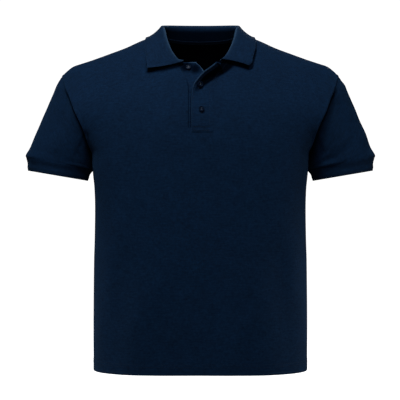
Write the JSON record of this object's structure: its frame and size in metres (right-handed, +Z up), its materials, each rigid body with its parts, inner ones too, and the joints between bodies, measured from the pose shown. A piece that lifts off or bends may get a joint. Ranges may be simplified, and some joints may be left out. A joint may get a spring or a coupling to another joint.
{
  "type": "polo shirt",
  "caption": "Short-sleeved pique polo shirt, filled out as if worn and empty inside, with a ribbed collar and cuffs and a buttoned placket.",
  "frame": {"origin": "on the middle plane, level with the inner ends of the shoulder seams, inside the neck, where a wearer's shoulders or a hanger carry the shirt", "axes": "+X to the wearer's left, -Y out of the front, +Z up"},
  "size_m": [0.7698, 0.258, 0.7596],
  "materials": {
    "pique": "navy cotton pique knit, matt",
    "rib": "navy ribbed cotton knit, matt",
    "tape": "navy woven cotton tape",
    "button": "navy, softly polished"
  },
  "bodies": {
    "root": {"front": "pique", "back": "pique", "sleeve_left": "pique", "sleeve_right": "pique", "cuff_left": "rib", "cuff_right": "rib", "collar": "rib", "placket_upper": "pique", "placket_under": "pique", "neck_tape": "tape", "button_top": "button", "button_middle": "button", "button_bottom": "button"}
  },
  "joints": []
}
